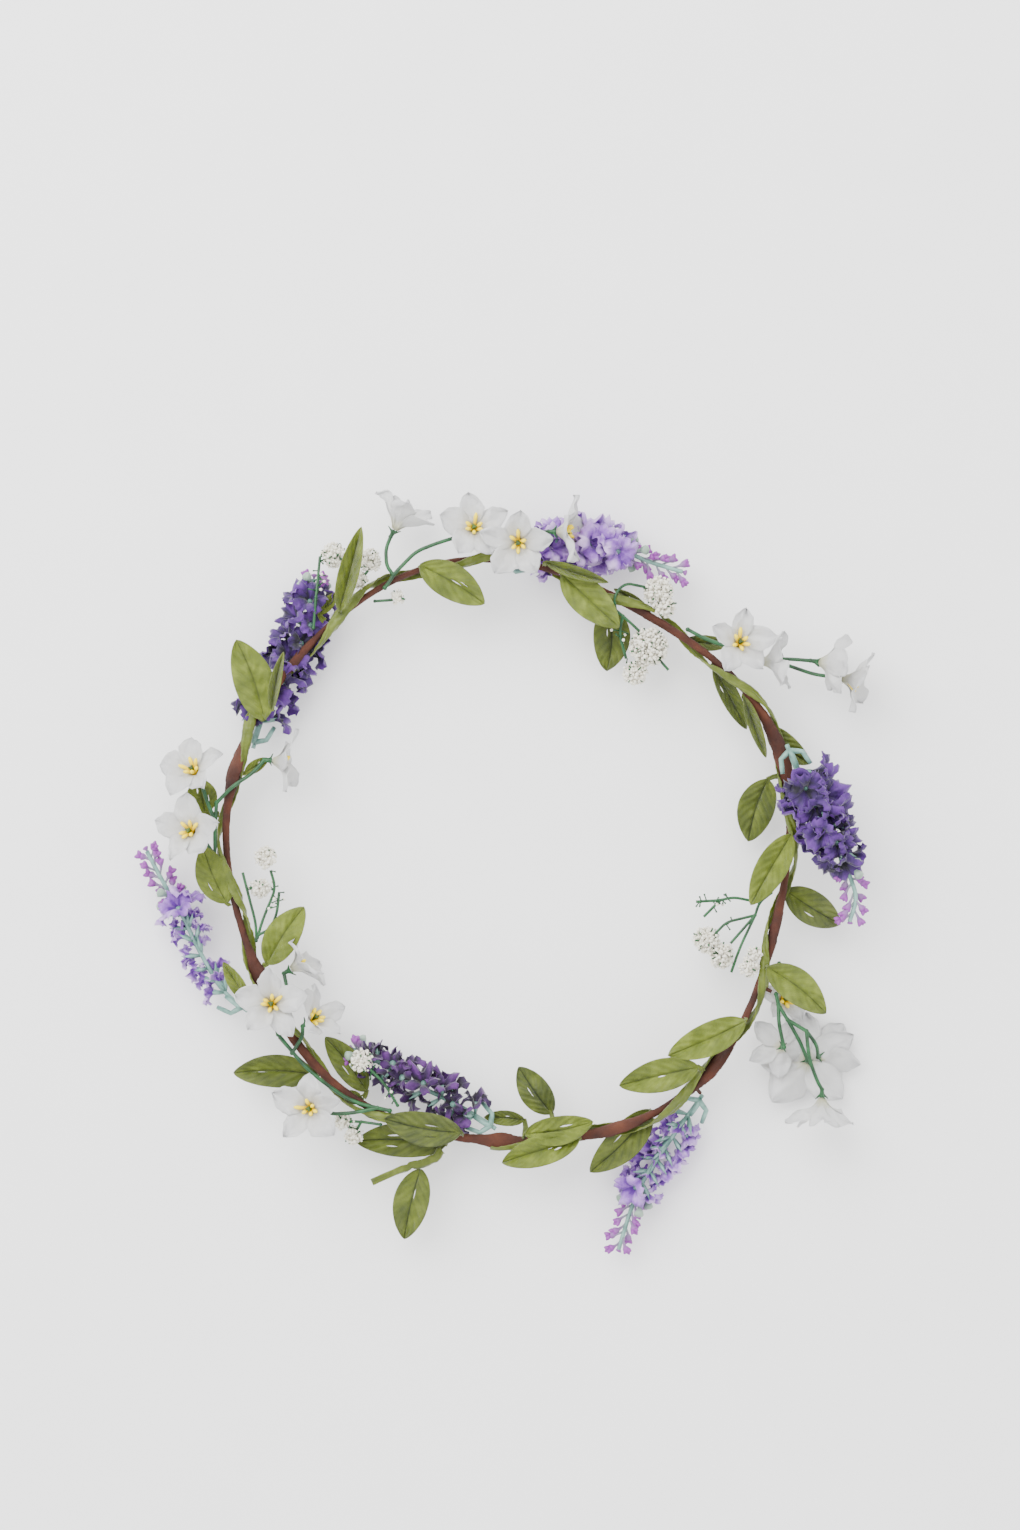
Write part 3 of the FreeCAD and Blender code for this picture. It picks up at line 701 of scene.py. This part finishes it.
def leaf_plate(points):
    """Base, tip, normal and width of a leaf from its CAD plate."""
    middle, axes = main_axes(points)
    along = (points - middle) @ axes[0]
    ends = [points[along < along.min() + 0.4 * MM].mean(0),
            points[along > along.max() - 0.4 * MM].mean(0)]
    if hoop_distance(ends[0]) > hoop_distance(ends[1]):
        ends.reverse()
    normal = Vector(axes[2])
    if normal.z < 0:
        normal.negate()
    width = float(np.ptp((points - middle) @ axes[1]))
    return Vector(ends[0]), Vector(ends[1]), normal, width


LEAF_TONES = {"leaves_lower_left": 0.55, "leaves_upper_right": 0.35, "garland_tail": 0.5}
LIGHT_LEAF_TONE = 0.12
# painted shade: leaves whose tips hang below the low-leaf height get this darker tone
LOW_LEAF_SHADE_TONE = 0.5
LOW_LEAF_HEIGHT = -3 * MM


def leaf_piece(name, node, solids, pile):
    """The cloth leaves of a CAD node, added to what the pile already holds."""
    for points in solids:
        base, tip, normal, width = leaf_plate(points)
        seed = chance.randint(1, 9999)
        full = max(width, min(LEAF_WIDTH, (tip - base).length * 0.42))
        fold = max(math.degrees(math.acos(min(width / full, 1))), 10)
        low = tip.z < LOW_LEAF_HEIGHT
        # painted shade on leaves that hang low
        tone = LOW_LEAF_SHADE_TONE if low else LEAF_TONES.get(node, LIGHT_LEAF_TONE)
        leaf_sheet(pile, base, tip, normal, full, fold, tone + chance.uniform(-0.08, 0.12), seed)
        if node != "garland_tail":
            stalk(pile, base, tip, normal, tone)
    piece(name, pile, LEAF, node, [node], LEAF_CLOTH)


def stalk(pile, base, tip, normal, tone):
    """Narrow strip that joins a leaf to the garland beside it."""
    target = nearest_on(hoop_line, base)
    reach = base - target
    if reach.length < 1 * MM:
        return
    start = target + reach.normalized() * min(2.6 * MM, reach.length * 0.7)
    middle = (start + base) / 2 + (base - tip).normalized() * 0.3 * MM
    inside = base + (tip - base) * 0.07
    line = [start, middle, base, inside]
    normals = [np.asarray(normal + (start - target) * 200)] + [np.asarray(normal)] * 3
    strip(pile, [np.asarray(p) for p in line], normals, [2.0 * MM, 1.7 * MM, 1.5 * MM, 1.2 * MM],
          tones=tone)


def leaves():
    for node in sorted(n for n in nodes if n.startswith("leaves_")):
        leaf_piece(node + "_cloth", node, welded(node), Pile())


def garland_end():
    """Loose end of the garland: a folded strip with its leaf."""
    flat, folded = [], []
    for points in welded("garland_tail"):
        thickness = np.ptp((points - points.mean(0)) @ main_axes(points)[1][2])
        (flat if thickness < MM else folded).append(points)
    pile = Pile()
    for points in folded:
        line = spine(points, 26)
        tilt = [np.array([math.sin(k * 0.12), 0.3 * math.cos(k * 0.2), 1.0])
                for k in range(len(line))]
        strip(pile, line, tilt, [2.9 * MM] * len(line), curl=0.5, tones=0.35)
    leaf_piece("garland_end_cloth", "garland_tail", flat, pile)


# ---- white flowers
def petal_half_width(u):
    """Half width of a petal as a share of its widest, from throat to tip."""
    shape = u ** 0.8 * (1 - u) ** 0.85
    return np.maximum(shape / shape.max(), 0.2 * (u < 0.3))


def petal_sheet(pile, origin, axis, spoke, radius, rise, seed):
    """One pointed petal that leaves the throat, rises and bends back near its tip."""
    pick = random.Random(seed)
    rows, columns = 19, 13
    u, v = sheet_grid(rows, columns)
    length = radius * pick.uniform(0.92, 1.04)
    half = radius * pick.uniform(0.29, 0.35) * petal_half_width(u)
    half = half * (1 + 0.07 * np.sin(u * 17 + seed) * u + 0.05 * np.sin(u * 31 + 2 * seed) * u)
    bend = pick.uniform(-0.12, 0.12)
    y = half * v + length * bend * u ** 2
    ripple = noise_over(u * 2.2, v * 1.2, seed * 1.9)
    slope = math.radians(rise + pick.uniform(-9, 9))
    x = 0.7 * MM + (length - 0.7 * MM) * u * math.cos(slope)
    throat = 1.6 * MM * np.clip(u * 8, 0, 1)
    z = 0.2 * MM + throat + length * u * math.sin(slope)
    z -= length * pick.uniform(0.03, 0.22) * u ** 3
    z += np.abs(half * v) * pick.uniform(0.1, 0.6) * (1 - 0.4 * u)
    z += ripple * radius * 0.15 * np.clip(u * 2, 0, 1)
    z += 0.03 * radius * np.sin(v * 7 + u * 6 + seed) * np.clip(u * 1.5, 0, 1) * np.abs(v)
    twist = pick.uniform(-0.6, 0.6) * u
    y, z = y * np.cos(twist) - 0.3 * half * np.sin(twist) * v, z + y * np.sin(twist)
    axes = axes_for(spoke, axis)
    places = np.column_stack([u.ravel(), (v.ravel() + 1) / 2])
    pile.add(in_place(x, y, z, origin, axes), grid_faces(rows, columns), places, u.ravel())


def flower_seat(points):
    """Base point and facing direction of a flower from the CAD plug of its stamens."""
    middle, axes = main_axes(points)
    axis = axes[0]
    along = (points - middle) @ axis
    low, high = points[along < along.min() + 0.6 * MM], points[along > along.max() - 0.6 * MM]
    if np.ptp(low, axis=0).sum() > np.ptp(high, axis=0).sum():
        low, high = high, low
        axis = -axis
    foot = low.mean(0)
    axis = high.mean(0) - foot
    axis /= np.linalg.norm(axis)
    return Vector(foot - axis * 2.0 * MM), Vector(axis)


def petal_spokes(origin, axis, corolla):
    """Radius of a corolla and the direction of its first petal, from the CAD petals."""
    away = corolla - np.asarray(origin)
    flat = away - np.outer(away @ np.asarray(axis), np.asarray(axis))
    reach = np.linalg.norm(flat, axis=1)
    far = int(reach.argmax())
    return float(np.linalg.norm(away[far])), Vector(flat[far]).normalized()


def stamen_set(pile, origin, axis, spoke, seed):
    """Six curved stamens, one of them longer than the rest."""
    pick = random.Random(seed)
    for number in range(6):
        turn = math.radians(60 * number + pick.uniform(-14, 14))
        out = spun(spoke, axis, turn).normalized()
        spread = pick.uniform(1.6, 2.8) * MM if number else 3.8 * MM
        tall = pick.uniform(3.8, 5.2) * MM
        line = [origin + axis * (0.8 * MM + tall * s) + out * (0.5 * MM + spread * s ** 1.6)
                for s in np.linspace(0, 1, 7)]
        radii = [0.5 * MM, 0.5 * MM, 0.5 * MM, 0.52 * MM, 0.6 * MM, 0.66 * MM, 0.36 * MM]
        rod(pile, line, radii, tones=np.linspace(0.1, 0.9, 7))


def pistil(pile, origin, axis, spoke):
    """Short column in the middle of a flower, with three small arms on top."""
    line = [origin + axis * s * MM for s in (0.6, 2.0, 3.4, 4.0, 4.4)]
    rod(pile, line, [r * MM for r in (0.5, 0.5, 0.55, 0.75, 0.3)])
    for number in range(3):
        turn = math.radians(120 * number + 20)
        out = spun(spoke, axis, turn)
        rod(pile, [origin + axis * 3.8 * MM, origin + axis * 4.5 * MM + out * 0.8 * MM],
            [0.4 * MM, 0.3 * MM])


def calyx_spikes(pile, origin, axis, spoke, seed):
    """Small forked sepals that grip the back of the petals."""
    pick = random.Random(seed)
    for number in range(4):
        turn = math.radians(90 * number + pick.uniform(-20, 20))
        out = spun(spoke, axis, turn)
        line = [origin - axis * 1.6 * MM, origin + out * 0.9 * MM - axis * 0.4 * MM,
                origin + out * pick.uniform(1.9, 2.6) * MM + axis * pick.uniform(0.1, 0.8) * MM]
        rod(pile, line, [0.4 * MM, 0.34 * MM, 0.12 * MM], around=6)


def flowers():
    """Every star flower, gathered into four pieces for each spray."""
    for node in sorted(n for n in nodes if n.endswith("_flower_stamens")):
        spray = node[:-len("_stamens")]
        corollas = welded(spray + "_petals")
        cloth, yellow, green, sepals = Pile(), Pile(), Pile(), Pile()
        for plug in welded(node):
            origin, axis = flower_seat(plug)
            near = min(corollas, key=lambda c: np.linalg.norm(c - np.asarray(origin), axis=1).min())
            radius, spoke = petal_spokes(origin, axis, near)
            rise = 24 if abs(axis.z) > 0.5 else 34
            seed = chance.randint(1, 9999)
            for fifth in range(5):
                turn = math.radians(72 * fifth + chance.uniform(-6, 6))
                out = spun(spoke, axis, turn)
                petal_sheet(cloth, origin, axis, out, radius, rise, seed + fifth)
            stamen_set(yellow, origin, axis, spoke, seed)
            pistil(green, origin, axis, spoke)
            calyx_spikes(sepals, origin, axis, spoke, seed)
        piece(spray + "_corollas", cloth, PETAL, spray + "_petals",
              [spray + "_petals"], PETAL_CLOTH)
        piece(spray + "_stamen_rings", yellow, STAMEN, node, [node])
        piece(spray + "_pistils", green, PISTIL, node)
        piece(spray + "_sepals", sepals, STEM, spray + "_stems")


# ---- lavender
def floret_sheet(pile, origin, axis, length, radius, seed, ragged):
    """Ruffled trumpet: a narrow tube that flares into five creased lobes."""
    pick = random.Random(seed)
    rows, around = 12, 48
    turns = np.linspace(0, 2 * math.pi, around, endpoint=False)
    s, t = np.meshgrid(np.linspace(0, 1, rows), turns, indexing="ij")
    lobes = 5
    phase = pick.uniform(0, 6.28)
    depth, sharpness, wave = (0.5, 1.2, 0.34) if ragged else (0.14, 0.42, 0.2)
    flare = 0.5 * MM + (radius - 0.5 * MM) * s ** 1.7
    round_lobe = 1.6 * np.abs(np.sin(lobes / 2 * t + phase)) ** sharpness - 1
    edge = 1 + depth * s ** 2 * round_lobe + 0.08 * s ** 3 * np.sin(17 * t + 2 * phase)
    rough = noise_over(np.cos(t) * 1.4, np.sin(t) * 1.4, s * 2 + seed)
    reach = flare * edge * (1 + 0.28 * rough * s)
    z = length * s ** 0.62
    z = z + radius * wave * s ** 2 * np.cos(lobes * t + phase + 1.3)
    z = z + radius * 0.13 * s ** 3 * np.sin(13 * t + phase) + radius * 0.3 * rough * s ** 2
    z = z - radius * 0.28 * np.clip(s - 0.8, 0, 1) * 5
    x, y = reach * np.cos(t), reach * np.sin(t)
    axes = axes_for(axis, UP)
    # painted shade and light: the tone rises from the dark tube to the rim, dips in the notches
    # between the lobes and varies at random
    tones = np.clip(0.05 + 0.55 * s + 0.6 * rough + 0.25 * round_lobe * s
                    + pick.uniform(-0.15, 0.15), 0, 1)
    places = np.column_stack([s.ravel(), t.ravel() / (2 * math.pi)])
    pile.add(in_place(z, x, y, origin, axes), grid_faces(rows, around, wrapped=True), places,
             tones.ravel())


def side_direction(ahead, turn, lean):
    """Direction that leaves a stem at an angle, turned round it by another."""
    axes = axes_for(ahead, UP)
    out = Vector(axes[1]) * math.cos(turn) + Vector(axes[2]) * math.sin(turn)
    return (Vector(ahead) * math.cos(lean) + out * math.sin(lean)).normalized()


def club_bud(pile, start, axis, length, radius, tone):
    """Thin stalk that swells into a blunt, notched club."""
    shares = (0, 0.35, 0.6, 0.78, 0.93, 1.0)
    sizes = (0.30, 0.26, 0.40, 0.85, 1.0, 0.55)
    sway = side_direction(axis, chance.uniform(0, 6.28), 1.5) * length * 0.08
    line = [start + axis * length * share + sway * math.sin(math.pi * share) for share in shares]
    tones = tone if np.isscalar(tone) else np.interp(shares, (0, 1), tone)
    rod(pile, line, [radius * size for size in sizes], tones=tones)


def notched_tip(pile, start, axis):
    """Three small lobes on the head of a bud."""
    for number in range(3):
        out = side_direction(axis, math.radians(120 * number + 40), 0.85)
        rod(pile, [start - axis * 0.6 * MM, start + out * 1.1 * MM, start + out * 1.9 * MM],
            [0.7 * MM, 0.75 * MM, 0.25 * MM], around=6, tones=0.9)


def foot_branches(pile, route):
    """Thick moulded branches that spread from a sprig's foot to its first florets."""
    start, ahead = at_share(route, 0.0)
    side = Vector(axes_for(ahead, UP)[1])
    knot = start + ahead * 0.6 * MM + UP * 1.0 * MM
    for shift in (-4.6, 0.6, 5.0):
        bow = knot + ahead * (2.2 - 0.1 * abs(shift)) * MM + side * shift * 0.75 * MM + UP * 0.6 * MM
        end = knot + ahead * 6.4 * MM + side * shift * MM - UP * 0.6 * MM
        rod(pile, [knot, (knot + bow * 2) / 3 + UP * 0.3 * MM, bow, (bow + end) / 2, end],
            [0.9 * MM, 0.85 * MM, 0.8 * MM, 0.8 * MM, 0.7 * MM])


DENSE_TO_TIP = {"upper_left", "lower_left"}
DARK_SPRIGS = {"right", "upper_left", "lower_left"}
RAGGED_SPRIGS = {"lower_left"}
FREE_SPRIGS = {"bottom", "left"}
TUCKED_SHARE = 0.6


def tucked(axis, size):
    """Floret direction and size near a free sprig's foot, where it needs room to swing."""
    return Vector((axis.x, axis.y, min(axis.z, -0.2))).normalized(), size * 0.7


def lavender_florets(sprig, route, last, petals, teal):
    """Whorls of three florets up to a share of the stem, each with its calyx and a blade."""
    ragged = sprig in RAGGED_SPRIGS
    for whorl in range(FLORET_WHORLS):
        share = FIRST_WHORL + (last - FIRST_WHORL) * whorl / (FLORET_WHORLS - 1)
        point, ahead = at_share(route, share)
        for side in range(3):
            turn = math.radians((0, 180, 90)[side] + chance.uniform(-28, 28) + 12 * (whorl % 3))
            lean = math.radians(chance.uniform(38, 74))
            axis = side_direction(ahead, turn, lean)
            size = chance.uniform(0.82, 1.14) * (1.0 if whorl < FLORET_WHORLS - 2 else 0.85)
            if ragged:
                size *= 0.72
            if sprig in FREE_SPRIGS and share < TUCKED_SHARE:
                axis, size = tucked(axis, size)
                if hoop_distance(point + axis * 6 * MM) < hoop_distance(point) - 2.5 * MM:
                    continue
            low = point + axis * 0.5 * MM
            foot = low + axis * 1.6 * MM
            floret_sheet(petals, foot, axis, FLORET_LENGTH * size, FLORET_RADIUS * size,
                         chance.randint(1, 9999), ragged)
            rod(teal, [low, foot, foot + axis * 2.4 * MM], [0.35 * MM, 0.7 * MM, 1.0 * MM])
            over = (axis + UP * chance.uniform(0.3, 0.8)).normalized()
            blade = low + over * chance.uniform(4.0, 6.5) * MM + UP * 0.8 * MM
            rod(teal, [low, (low + blade) / 2 + UP * 0.5 * MM, blade],
                [0.3 * MM, 0.62 * MM, 0.08 * MM], around=6)


def lavender_buds(sprig, route, last, grey, mauve):
    """Grey buds just past the florets, then mauve ones to the stem's tip."""
    for number in range(SIDE_BUDS):
        point, ahead = at_share(route, last + 0.03 + 0.03 * number)
        axis = side_direction(ahead, math.radians(180 * (number % 2) + 30 * number), 0.8)
        club_bud(grey, point, axis, 7.6 * MM, 1.6 * MM, 0.5)
    count = 6 if sprig in DENSE_TO_TIP else 12
    for number in range(count):
        share = last + 0.06 + (0.985 - last - 0.06) * number / (count - 1)
        point, ahead = at_share(route, share)
        turn = math.radians(180 * (number % 2) + chance.uniform(-50, 50))
        axis = side_direction(ahead, turn, math.radians(chance.uniform(30, 58)))
        club_bud(mauve, point, axis, chance.uniform(4.4, 6.0) * MM, 1.3 * MM,
                 (0.05, 0.75 + 0.2 * chance.random()))
        notched_tip(mauve, point + axis * 5.0 * MM, axis)
    tip, ahead = at_share(route, 1.0)
    club_bud(mauve, tip, ahead, 3.0 * MM, 1.0 * MM, (0.1, 0.8))


def lavender_sprig(sprig):
    """Florets, calyces and buds of one sprig, on its CAD stem."""
    stem = f"{sprig}_lavender_stem"
    route = spine(np.vstack(welded(stem)))
    last = 0.86 if sprig in DENSE_TO_TIP else 0.62
    petals, teal, mauve, grey = Pile(), Pile(), Pile(), Pile()
    lavender_florets(sprig, route, last, petals, teal)
    lavender_buds(sprig, route, last, grey, mauve)
    foot_branches(teal, route)
    cloth, slot = LIGHT_FLORET, "light_purple_floret_fabric"
    if sprig in DARK_SPRIGS:
        cloth = DEEP_FLORET if sprig in RAGGED_SPRIGS else DARK_FLORET
        slot = "dark_purple_floret_fabric"
    piece(f"{sprig}_lavender_ruffles", petals, cloth, stem,
          [f"{sprig}_lavender_florets"], FLORET_CLOTH)
    piece(f"{sprig}_lavender_calyces", teal, TEAL, stem)
    piece(f"{sprig}_lavender_tip_buds", mauve, BUD, stem,
          [f"{sprig}_lavender_buds"])
    piece(f"{sprig}_lavender_side_buds", grey, GREY_BUD, stem)


# ---- gypsophila
def grain_shape():
    """Points and faces of a ball of radius 1, which each grain is crumpled from."""
    ball = bmesh.new()
    bmesh.ops.create_icosphere(ball, subdivisions=1, radius=1.0)
    points = np.array([tuple(v.co) for v in ball.verts])
    faces = [tuple(v.index for v in face.verts) for face in ball.faces]
    ball.free()
    return points, faces


GRAIN_POINTS, GRAIN_FACES = grain_shape()


def surface_points(node, spacing):
    """Points spread over the surface of a CAD node, with the outward normal at each."""
    mesh = nodes[node].data
    mesh.calc_loop_triangles()
    found = []
    for triangle in mesh.loop_triangles:
        corners = [mesh.vertices[i].co for i in triangle.vertices]
        expected = triangle.area / spacing ** 2
        count = int(expected) + (chance.random() < expected % 1)
        for _ in range(count):
            a, b = sorted((chance.random(), chance.random()))
            point = corners[0] * a + corners[1] * (b - a) + corners[2] * (1 - b)
            found.append((point, triangle.normal.copy()))
    return found


def stem_forks(white, green, stem):
    """Short forked twigs with a few grains along the outer half of a stem."""
    spots = surface_points(stem, 1.5 * MM)
    reach = max(hoop_distance(point) for point, _ in spots)
    for point, normal in spots:
        if hoop_distance(point) < 0.55 * reach or chance.random() < 0.45:
            continue
        stray = Vector((chance.uniform(-1, 1), chance.uniform(-1, 1), 0.3))
        out = (normal + stray * 0.6).normalized()
        tip = point + out * chance.uniform(1.2, 2.6) * MM
        rod(green, [point, (point + tip) / 2 + UP * 0.2 * MM, tip],
            [0.22 * MM, 0.2 * MM, 0.32 * MM], around=5)
        if chance.random() < 0.5:
            white.add(GRAIN_POINTS * GRAIN_RADIUS * 1.1 + np.asarray(tip), GRAIN_FACES)


def gypsophila(node):
    """Clusters of tiny crumpled grains, with green twigs that show between them."""
    white, green = Pile(), Pile()
    for point, normal in surface_points(node, GRAIN_SPACING):
        depth = chance.uniform(-0.6, 2.0) * MM
        size = GRAIN_RADIUS * chance.uniform(0.6, 1.25)
        lumps = 1 + 0.35 * np.array([chance.uniform(-1, 1) for _ in GRAIN_POINTS])
        centre = np.asarray(point - normal * depth)
        white.add(GRAIN_POINTS * size * lumps[:, None] + centre, GRAIN_FACES)
    for point, normal in surface_points(node, 3.0 * MM):
        tip = point + normal * chance.uniform(0.2, 1.0) * MM
        rod(green, [point - normal * 2.0 * MM, tip], [0.22 * MM, 0.3 * MM], around=5)
    stem = node.replace("clusters", "stem")
    body_node = stem if stem in nodes else node
    if stem in nodes:
        stem_forks(white, green, stem)
    name = node.replace("_clusters", "")
    piece(f"{name}_grains", white, GRAIN, body_node, [node])
    piece(f"{name}_twigs", green, STEM, body_node)


# ---- pieces of the frame that are shown as they are
def keep(node, material):
    """Shows a CAD node as it is, with a better material."""
    shown = nodes[node]
    shown.data.materials.clear()
    shown.data.materials.append(material)
    shown.data.polygons.foreach_set("use_smooth", np.ones(len(shown.data.polygons), bool))


def kept_pieces():
    keep("hoop_wire", STEEL)
    keep("paper_ties", TAPE)
    for node in nodes:
        if node.endswith("_flower_stems") or node.endswith("_gypsophila_stem"):
            keep(node, STEM)
        if node.endswith("_lavender_stem"):
            keep(node, TEAL)


# ---- studio
def floor_and_light():
    """A plain pale floor just under the crown, even air light and one large softbox."""
    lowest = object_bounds()[0].z
    bpy.ops.mesh.primitive_plane_add(size=6, location=(0, 0, lowest - 0.1 * MM))
    floor = bpy.context.object
    floor.name = "floor"
    plain = Recipe("floor_paper")
    grain = plain.speckle(30, 2.0)
    floor.data.materials.append(plain.finish(
        Base_Color=plain.ramp(grain, [(0.3, (0.97, 0.97, 0.97, 1)), (0.7, (0.99, 0.99, 0.99, 1))]),
        Roughness=0.9))
    world = bpy.data.worlds.new("studio_air")
    bpy.context.scene.world = world
    world.use_nodes = True
    air = world.node_tree.nodes["Background"].inputs
    air["Color"].default_value = (1, 1, 1, 1)
    air["Strength"].default_value = AIR_STRENGTH
    lamp = bpy.data.lights.new("softbox", "AREA")
    lamp.shape = "RECTANGLE"
    lamp.size = SOFTBOX_SIZE
    lamp.size_y = SOFTBOX_SIZE
    lamp.energy = SOFTBOX_POWER
    box = bpy.data.objects.new("softbox", lamp)
    box.location = SOFTBOX_PLACE
    box.rotation_euler = (-box.location).to_track_quat("-Z", "Y").to_euler()
    bpy.context.scene.collection.objects.link(box)


def photo_camera():
    """Looks straight down on the crown, which lies below the middle of a tall frame."""
    low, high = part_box("hoop_tape")
    hoop_width = high.x - low.x
    lens = bpy.data.cameras.new("camera")
    lens.lens = lens.sensor_width * CAMERA_HEIGHT / (hoop_width * VIEW_HEIGHT)
    camera = bpy.data.objects.new("camera", lens)
    middle = (low + high) / 2
    camera.location = (middle.x + VIEW_SHIFT[0] * hoop_width,
                       middle.y + VIEW_SHIFT[1] * hoop_width, CAMERA_HEIGHT)
    bpy.context.scene.collection.objects.link(camera)
    bpy.context.scene.camera = camera


paper_tape()
garland_ribbon()
leaves()
garland_end()
flowers()
for stem_node in sorted(n for n in nodes if n.endswith("_lavender_stem")):
    lavender_sprig(stem_node[:-len("_lavender_stem")])
for cluster_node in sorted(n for n in nodes if n.endswith("_clusters")):
    gypsophila(cluster_node)
kept_pieces()
floor_and_light()
photo_camera()
